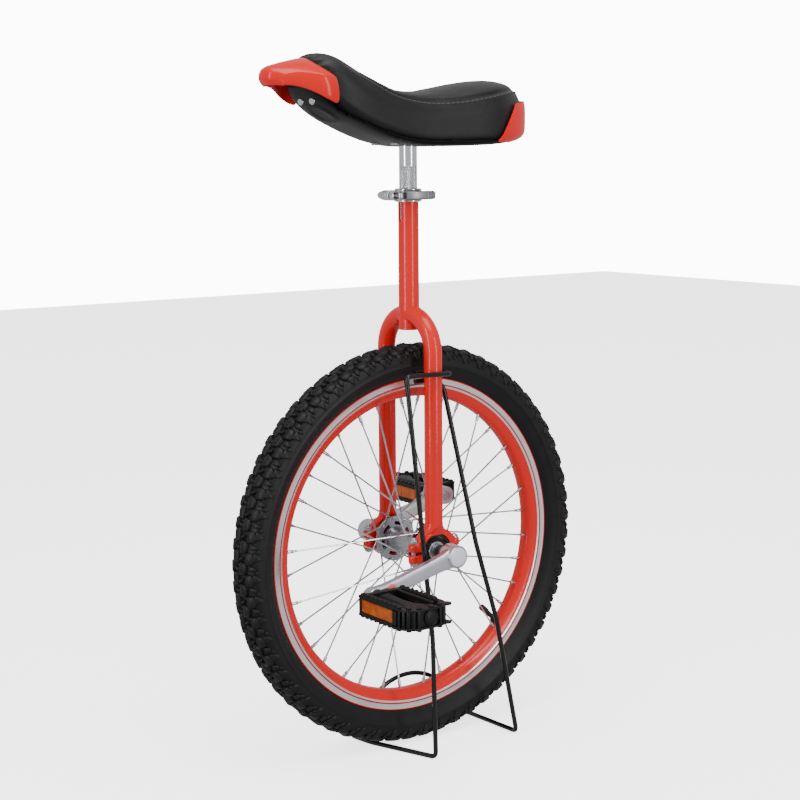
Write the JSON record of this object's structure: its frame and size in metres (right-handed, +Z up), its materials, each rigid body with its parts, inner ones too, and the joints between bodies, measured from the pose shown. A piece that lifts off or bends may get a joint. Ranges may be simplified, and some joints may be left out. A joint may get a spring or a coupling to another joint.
{
  "type": "unicycle",
  "caption": "Unicycle with a knobbly tyre on a laced wheel, a tubular fork, a height-adjustable saddle with a front grip and a wire display stand",
  "frame": {"origin": "on the ground directly under the axle, at the foot of the tyre", "axes": "+Z up, +X forward toward the saddle's grip, +Y the rider's left; the axle runs along Y"},
  "size_m": [0.504, 0.399, 0.8465],
  "materials": {
    "red_paint": "gloss enamel",
    "rim_finish": "gloss enamel with bare brake tracks",
    "black_wire": "gloss black enamel",
    "zinc_steel": "zinc plated",
    "spoke_steel": "drawn wire",
    "bearing_steel": "ground steel with black seals",
    "post_chrome": "bright chrome",
    "clamp_alloy": "polished",
    "crank_alloy": "satin silver",
    "cap_plastic": "satin light grey",
    "pedal_plastic": "moulded black",
    "reflector": "amber prism lens",
    "tyre_rubber": "black tread rubber",
    "inner_rubber": "butyl rubber",
    "tape_rubber": "rim tape",
    "cover_vinyl": "black grained vinyl",
    "foam": "open cell foam",
    "base_plastic": "moulded black",
    "red_plastic": "gloss red moulding"
  },
  "bodies": {
    "frame": {"seat_tube": "red_paint", "fork_leg_left": "red_paint", "fork_leg_right": "red_paint", "bearing_holder_left": "red_paint", "bearing_holder_right": "red_paint", "bearing_cap_left": "red_paint", "bearing_cap_right": "red_paint", "cap_bolt_front_left": "zinc_steel", "cap_bolt_front_right": "zinc_steel", "cap_bolt_rear_left": "zinc_steel", "cap_bolt_rear_right": "zinc_steel", "cap_nut_front_left": "zinc_steel", "cap_nut_front_right": "zinc_steel", "cap_nut_rear_left": "zinc_steel", "cap_nut_rear_right": "zinc_steel", "bearing_outer_left": "bearing_steel", "bearing_outer_right": "bearing_steel", "stand_wire": "black_wire"},
    "wheel": {"axle": "zinc_steel", "hub_shell": "zinc_steel", "bearing_inner_left": "bearing_steel", "bearing_inner_right": "bearing_steel", "spokes_left": "spoke_steel", "spokes_right": "spoke_steel", "rim": "rim_finish", "rim_tape": "tape_rubber", "inner_tube": "inner_rubber", "valve_stem": "inner_rubber", "tyre": "tyre_rubber", "crank_left": "crank_alloy", "crank_right": "crank_alloy", "crank_bolt_left": "zinc_steel", "crank_bolt_right": "zinc_steel", "crank_cap_left": "cap_plastic", "crank_cap_right": "cap_plastic", "pedal_spindle_left": "zinc_steel", "pedal_spindle_right": "zinc_steel"},
    "pedal_left": {"pedal_cage_left": "pedal_plastic", "reflector_front_left": "reflector", "reflector_rear_left": "reflector"},
    "pedal_right": {"pedal_cage_right": "pedal_plastic", "reflector_front_right": "reflector", "reflector_rear_right": "reflector"},
    "clamp": {"clamp_collar": "clamp_alloy", "clamp_skewer": "zinc_steel", "clamp_nut": "post_chrome"},
    "lever": {"clamp_lever": "clamp_alloy"},
    "seat": {"seat_post": "post_chrome", "saddle_base": "base_plastic", "saddle_foam": "foam", "saddle_cover": "cover_vinyl", "front_handle": "red_plastic", "rear_bumper": "red_plastic", "handle_screw_left": "zinc_steel", "handle_screw_right": "zinc_steel", "saddle_bolt_front_left": "zinc_steel", "saddle_bolt_front_right": "zinc_steel", "saddle_bolt_rear_left": "zinc_steel", "saddle_bolt_rear_right": "zinc_steel"}
  },
  "joints": [
    {"name": "wheel_spin", "type": "hinge", "parent": "frame", "child": "wheel", "pos_m": [0, 0, 0.252], "axis": [0, 1, 0], "continuous": true},
    {"name": "pedal_left_spin", "type": "hinge", "parent": "wheel", "child": "pedal_left", "pos_m": [0.12107, 0.152, 0.22091], "axis": [0, 1, 0], "continuous": true},
    {"name": "pedal_right_spin", "type": "hinge", "parent": "wheel", "child": "pedal_right", "pos_m": [-0.12107, -0.152, 0.28309], "axis": [0, 1, 0], "continuous": true},
    {"name": "seat_turn", "type": "hinge", "parent": "frame", "child": "clamp", "pos_m": [0, 0, 0.685], "axis": [0, 0, 1], "continuous": true},
    {"name": "seat_height", "type": "slide", "parent": "clamp", "child": "seat", "axis": [0, 0, 1], "range_m": [-0.045, 0.045]},
    {"name": "clamp_lever_turn", "type": "hinge", "parent": "clamp", "child": "lever", "pos_m": [0.0235, 0.0166, 0.685], "axis": [0, 0, 1], "range_deg": [-160, 0]}
  ]
}
